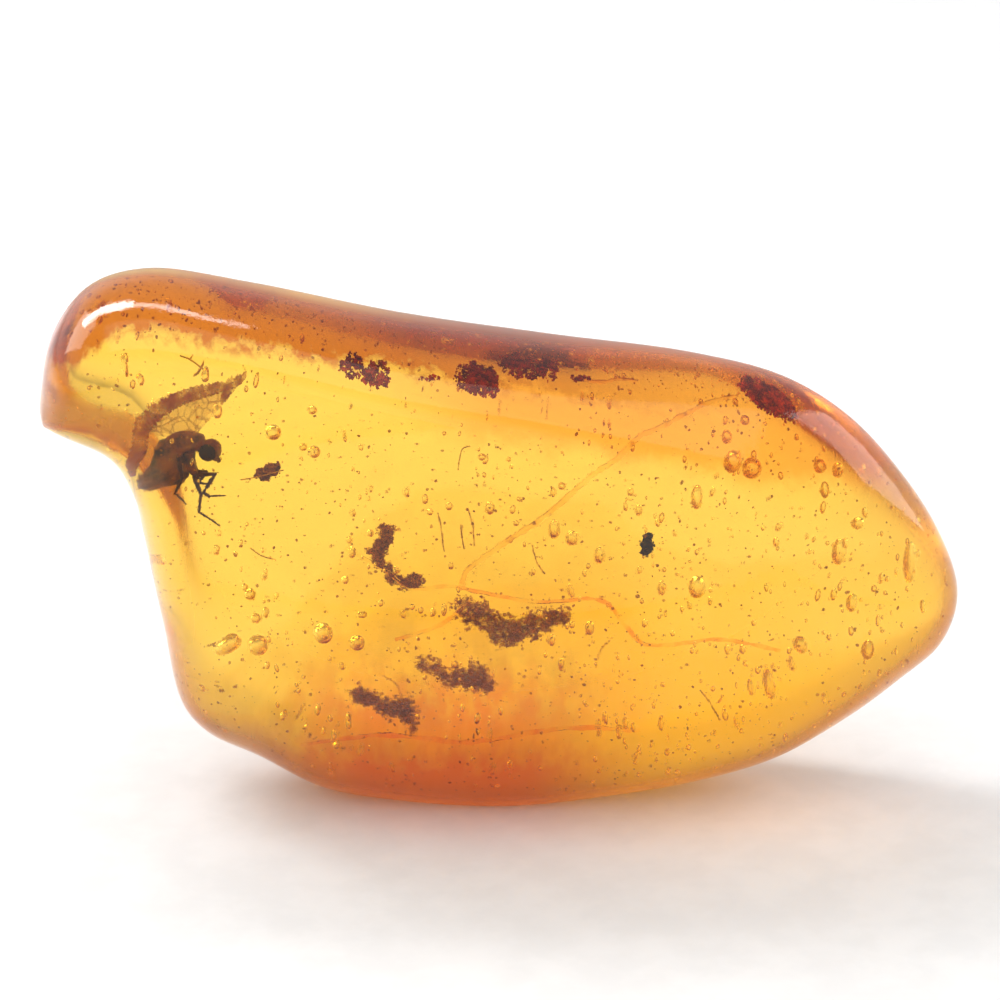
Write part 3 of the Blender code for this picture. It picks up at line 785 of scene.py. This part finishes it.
def insect_legs(material):
    bm = bmesh.new()
    pairs = ((FOLDED_LEG, 0.5), (STANDING_LEG, 1.0), (TRAILING_LEG, 1.1))
    for leg, stance in pairs:
        for side in (-1.0, 1.0):
            depth = side * LEG_STANCE * stance
            joints = in_plane(leg, depth)
            if side > 0.0:
                joints = [(joints[0][0].lerp(joint, FAR_LEG_REACH), thick)
                          for joint, thick in joints]
            for (start, thick), (end, thin) in zip(joints, joints[1:]):
                middle = start.lerp(end, 0.35)
                add_tube(bm, [(start, thin), (middle, thick), (end, thin * 0.8)], sides=8)
                add_lump(bm, end, (thin, thin, thin), detail=2)
                add_bristles(bm, start, end, thick)
    lean_forward(bm)
    return finished(bm, "insect_legs", material, "insect")


def add_bristles(bm, start, end, thick):
    """Short stiff hairs leaning along one length of a leg."""
    along = (end - start).normalized()
    for i in range(8):
        turn = 2.4 * i
        out = Vector((math.cos(turn), math.sin(turn), 0.3 * math.cos(turn)))
        root = start.lerp(end, (i + 0.5) / 8.0)
        tip = root + (along * 0.6 + out) * (thick + 0.08)
        add_tube(bm, [(root, 0.018), (tip, 0.006)], sides=3)


def insect_wings(material):
    bm = bmesh.new()
    pivot = Vector((WING[0][0], 0.0, WING[0][1]))
    for side, length in ((-1.0, 1.0), (1.0, REAR_WING)):
        tilt = Matrix.Rotation(-side * WING_TILT, 3, "X") * length
        outline = [pivot + tilt @ (Vector((x, 0.0, z)) - pivot) for x, z in WING]
        outline = [place + Vector((0.0, side * WING_SPREAD, 0.0)) for place in outline]
        skins = [[bm.verts.new((place + Vector((0.0, lift, 0.0))) * MM) for place in outline]
                 for lift in (-0.02, 0.02)]
        bm.faces.new(skins[0])
        bm.faces.new(reversed(skins[1]))
        for k in range(len(outline)):
            bm.faces.new((skins[0][k - 1], skins[0][k], skins[1][k], skins[1][k - 1]))
    lean_forward(bm)
    return finished(bm, "insect_wings", material, "insect", smooth=False)


def torn_film(material):
    """The brown, ragged skin of resin along the wings' leading edges."""
    bm = bmesh.new()
    for route, seed in ((TORN_FILM, 3), (TORN_FLAP, 4)):
        add_tube(bm, smooth_route(in_plane(route, TORN_DEPTH), 16), sides=14, flatness=0.35,
                 roughness=0.36, seed=seed)
    lean_forward(bm)
    return finished(bm, "torn_film", material, "insect")


# --- debris --------------------------------------------------------------------------------
def lumpy_chain(bm, points):
    """Uneven lumps, one at each point of a chain and one between each two."""
    lumps_at = in_plane(points)
    between = [(a.lerp(b, 0.5), (ra + rb) * 0.45)
               for (a, ra), (b, rb) in zip(lumps_at, lumps_at[1:])]
    for centre, radius in lumps_at + between:
        add_lump(bm, centre, (radius, radius * 0.7, radius * 0.85), lumps=0.5, lump_size=0.3)


def grainy_chain(name, node, chains, solid, grains, tree, density=30.0, loose=0.6, seed=1):
    """A lumpy body for a CAD node, and the crumbs strewn over it, some as far off as loose."""
    bm = bmesh.new()
    for chain in chains:
        lumpy_chain(bm, chain)
    bmesh.ops.recalc_face_normals(bm, faces=bm.faces)
    mesh = mesh_from_bmesh(bm, name)
    carrier = mesh.copy()
    for vert in carrier.vertices:
        away = 0.05 + loose * abs(noise.noise(vert.co / (0.25 * MM)))
        vert.co += vert.normal * away * MM
    values = [max(0.0, 0.5 + 2.5 * noise.noise(vert.co / (0.3 * MM))) for vert in carrier.vertices]
    set_crowding(carrier, values)
    piece = add_piece(mesh, name, solid)
    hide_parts(node)
    strew(carrier, tree, name + "_crumbs", grains, density, 0.015, 0.08,
          stretch=(1.8, 1.0, 1.8), detail=1, smooth=False, seed=seed)


# --- crusts, fibres, bubbles -----------------------------------------------------------------
def crust_carrier(across, down, half_width, half_height, turn, share, seed):
    """A patch lying just under the surface, with holes where nothing has settled."""
    bm = bmesh.new()
    rng = np.random.default_rng(seed)
    offset = rng.uniform(0.0, 50.0)
    cos, sin = math.cos(math.radians(turn)), math.sin(math.radians(turn))
    steps = 20
    crowd = []
    grid = []
    for i in range(steps + 1):
        for j in range(steps + 1):
            a, b = 2.0 * i / steps - 1.0, 2.0 * j / steps - 1.0
            u = across + half_width * a * cos - half_height * b * sin
            v = down + half_width * a * sin + half_height * b * cos
            spot = just_under(u, v, CRUST_BELOW + 0.25 * noise.noise((u / 6.0, v / 6.0, offset)))
            grid.append(bm.verts.new(spot * MM))
            holes = noise.noise((u / 3.0, v / 5.0, offset)) * 3.0 + share
            crowd.append(min(max(holes - 2.5 * math.hypot(a, b) ** 4, 0.0), 1.0))
    row = steps + 1
    for i in range(steps):
        for j in range(steps):
            k = i * row + j
            bm.faces.new((grid[k], grid[k + 1], grid[k + row + 1], grid[k + row]))
    mesh = mesh_from_bmesh(bm, "crust_carrier")
    set_crowding(mesh, crowd)
    return mesh


def crusts(tree, material):
    for number, crust in enumerate(CRUSTS):
        carrier = crust_carrier(*crust, seed=number)
        strew(carrier, tree, f"crust_{number + 1}", material, 330.0, 0.035, 0.08,
              stretch=(1.2, 1.2, 2.6), spin=0.4, detail=1, smooth=True, seed=number + 11)


def fibres(material):
    bm = bmesh.new()
    for number, line in enumerate(FIBRES):
        depth = -2.5 + 1.3 * (number % 3)
        route = [(seen_at(u, v, depth), FIBRE_RADIUS) for u, v in line]
        add_tube(bm, smooth_route(route), sides=6, roughness=0.25, seed=number)
    return finished(bm, "fibres", material, "plant_debris")


def bubbles(material):
    bm = bmesh.new()
    rng = np.random.default_rng(5)
    for across, down, half_width, half_height in BUBBLES:
        centre = seen_at(across, down, rng.uniform(*BUBBLE_DEPTHS))
        add_lump(bm, centre, (half_width, half_width, half_height))
    return finished(bm, "bubbles", material, "amber")


def shoulder_crowding(x, z):
    """Where the painted brown shade of the top shoulder lies."""
    return smooth_step(-0.4, 0.6, z + SHOULDER_FALL * x - SHOULDER_EDGE)


def bubble_layers(shares, crowding):
    """Sheets through the stone at several depths, crowded as crowding(x, z) says."""
    bm = bmesh.new()
    grid, directions = ball_grid(23)
    middle, offset = stone_points(directions)
    crowd = []
    for share in shares:
        points = middle * np.array([0.97, 1.0, 0.94]) + [-0.15, 0.0, 0.75]
        points[:, 1] += np.abs(offset) * share
        made = [bm.verts.new(point * MM) for point in points]
        for face in grid.faces:
            corners = [vert.index for vert in face.verts]
            if directions[corners, 1].max() < 0.02 and points[corners, 2].min() > 1.3:
                bm.faces.new([made[corner] for corner in corners])
        crowd.append(crowding(points[:, 0], points[:, 2]))
    mesh = mesh_from_bmesh(bm, "bubble_layers")
    set_crowding(mesh, np.maximum(np.concatenate(crowd), 0.0))
    return mesh


def bubble_crowding(x, z):
    return (0.4 + 0.6 * smooth_step(-2.0, 14.0, x) + 0.5 * np.sin(x * 0.9 + z * 0.5)
            + 0.8 * shoulder_crowding(x, z))


def speck_crowding(x, z):
    return (0.8 + 0.4 * np.sin(x * 0.7 - z)) * (1.0 - 0.8 * shoulder_crowding(x, z))


def seams(name, lines, below, radius, material):
    """Thin, gently buckled sheets drawn along lines in the amber."""
    bm = bmesh.new()
    for number, line in enumerate(lines):
        route = [(just_under(u, v, below), radius) for u, v in line]
        add_tube(bm, smooth_route(route, 8), sides=8, flatness=0.12, roughness=0.5, seed=number)
    return finished(bm, name, material, "amber")


def sparkles(material):
    bm = bmesh.new()
    rng = np.random.default_rng(8)
    for across, down in SPARKLES:
        centre = seen_at(across, down, -2.5)
        long = rng.uniform(0.1, 0.28)
        add_lump(bm, centre, (0.05, 0.03, long), turn=rng.uniform(-0.7, 0.7), detail=2)
    return finished(bm, "sparkles", material, "amber", smooth=False)


# --- camera, floor and light ---------------------------------------------------------------
def area_light(name, place, size, power, long_way):
    """A rectangular light that faces the stone."""
    light = bpy.data.lights.new(name, "AREA")
    light.shape = "RECTANGLE"
    light.size, light.size_y = size[0] * MM, size[1] * MM
    light.energy = power
    lamp = bpy.data.objects.new(name, light)
    lamp.location = Vector(place) * MM
    back = (Vector(place) - AIM).normalized()
    up = back.cross(Vector(long_way)).normalized()
    lamp.rotation_euler = Matrix((up.cross(back), up, back)).transposed().to_euler()
    bpy.context.scene.collection.objects.link(lamp)


def set_view():
    camera = bpy.data.cameras.new("view")
    camera.lens = LENS
    camera.sensor_width = SENSOR
    camera.clip_start = 0.005
    seat = bpy.data.objects.new("view", camera)
    seat.location = (AIM + view_back() * VIEW_DISTANCE) * MM
    seat.rotation_euler = (-view_back()).to_track_quat("-Z", "Y").to_euler()
    bpy.context.scene.collection.objects.link(seat)
    bpy.context.scene.camera = seat


def studio_world():
    """White walls all round, fading to a dimmer ceiling."""
    world = bpy.data.worlds.new("studio")
    world.use_nodes = True
    tree = world.node_tree
    direction = add_node(tree, "ShaderNodeTexCoord").outputs["Generated"]
    upward = add_node(tree, "ShaderNodeSeparateXYZ", {0: direction}).outputs["Z"]
    fade = add_node(tree, "ShaderNodeMapRange",
                    {"Value": upward, "From Min": WALL_TOP[0], "From Max": WALL_TOP[1],
                     "To Min": WALL_LIGHT, "To Max": CEILING_LIGHT},
                    interpolation_type="SMOOTHSTEP")
    set_inputs(tree, tree.nodes["Background"],
               {"Strength": fade.outputs["Result"], "Color": (1.0, 1.0, 1.0, 1.0)})
    return world


def set_stage():
    bm = bmesh.new()
    bmesh.ops.create_grid(bm, x_segments=1, y_segments=1, size=1.5)
    floor = bpy.data.objects.new("floor", mesh_from_bmesh(bm, "floor", smooth=False))
    bpy.context.scene.collection.objects.link(floor)
    paper = rough_material("white paper", (0.86, 0.86, 0.86), (0.9, 0.9, 0.9), 0.3, 0.8, 0.01)
    floor.data.materials.append(paper)
    bpy.context.scene.world = studio_world()
    for light in LIGHTS:
        area_light(*light)
    scene = bpy.context.scene
    scene.view_settings.view_transform = "Standard"
    scene.cycles.diffuse_bounces = 2
    for kind in ("max", "transmission", "glossy", "transparent_max"):
        setattr(scene.cycles, f"{kind}_bounces", BOUNCES)


def main():
    set_view()
    set_stage()
    tree = scatter_tree()
    amber_piece(amber_material())
    shell = rough_material("insect shell", (0.02, 0.008, 0.001), (0.4, 0.14, 0.01), 1.3, 0.35,
                           see_through=(0.0, 0.3))
    insect_body(shell)
    insect_legs(rough_material("leg shell", (0.03, 0.01, 0.003), (0.12, 0.045, 0.01), 3.0, 0.4))
    insect_eyes(rough_material("eye", (0.002, 0.001, 0.001), (0.02, 0.006, 0.002), 9.0, 0.12))
    insect_wings(wing_material())
    torn_film(rough_material("torn film", (0.5, 0.13, 0.005), (1.0, 0.45, 0.02), 1.8, 0.4,
                             see_through=(0.1, 0.7)))
    humus = rough_material("plant debris", (0.5, 0.2, 0.005), (1.0, 0.55, 0.02), 2.0, 0.7,
                           see_through=(0.45, 1.0))
    crumbs = rough_material("crumbs", (0.45, 0.17, 0.005), (1.0, 0.5, 0.02), 3.0, 0.7,
                            see_through=(0.2, 0.85))
    clumps = {"upper": (UPPER_DEBRIS, UPPER_STREAK), "middle": (MIDDLE_DEBRIS,),
              "lower": (LOWER_DEBRIS,), "left": (LEFT_DEBRIS,)}
    for seed, (where, chains) in enumerate(clumps.items(), start=21):
        grainy_chain(f"{where}_debris", f"debris_{where}", chains, humus, crumbs,
                     tree, seed=seed)
    bark = rough_material("bark", (0.12, 0.04, 0.006), (0.5, 0.2, 0.03), 3.0, 0.6)
    grainy_chain("bark", "bark_flake", (BARK_FLAKE,), bark, bark, tree, 60.0, 0.15, 25)
    soot = rough_material("dark grain", (0.01, 0.006, 0.003), (0.06, 0.03, 0.01), 4.0, 0.5)
    grainy_chain("grain", "dark_grain", (DARK_GRAIN,), soot, soot, tree, 20.0, 0.05, 26)
    crusts(tree, rough_material("red crust", (0.25, 0.015, 0.002), (0.8, 0.12, 0.01), 2.5, 0.25))
    fibres(rough_material("fibre", (0.4, 0.18, 0.02), (0.85, 0.5, 0.06), 3.0, 0.5))
    air = glass("trapped air", AIR_IN_AMBER_IOR)
    bubbles(air)
    seams("pale_seams", PALE_SEAMS, 0.7, 0.13,
          glass("pale resin", 1.1, (1.0, 0.8, 0.4), (1.0, 0.95, 0.8), 0.45))
    # Dark tinted sheets along lines; the first where paler amber meets the deeper orange below.
    seams("dark_seams", DARK_SEAMS, 4.0, 0.09,
          glass("dark line glass", 0.96, (0.95, 0.6, 0.25), (1.0, 0.95, 0.8), 0.05))
    sparkles(rough_material("golden glint", (0.9, 0.7, 0.1), (1.0, 0.9, 0.3), 3.0, 0.15,
                            metallic=1.0))
    strew(bubble_layers((-0.78, -0.5, -0.2, 0.25), bubble_crowding), tree, "small_bubbles",
          air, 0.42, 0.05, 0.17, stretch=(1.0, 1.0, 2.2), spin=0.25, seed=31)
    strew(bubble_layers((-0.85, -0.6, -0.1, 0.4), speck_crowding), tree, "specks",
          crumbs, 1.6, 0.015, 0.075,
          stretch=(1.6, 1.0, 1.6), detail=1, smooth=False, seed=32)
    # Painted highlights: pale grains for lit small bubbles under the top shoulder.
    flecks = rough_material("pale flecks", (0.9, 0.5, 0.12), (1.0, 0.85, 0.45), 3.0, 0.4)
    strew(bubble_layers((-0.93, -0.8), shoulder_crowding), tree, "pale_flecks", flecks,
          5.0, 0.015, 0.07, stretch=(1.0, 1.0, 3.5), spin=0.5, detail=1, seed=33)


main()
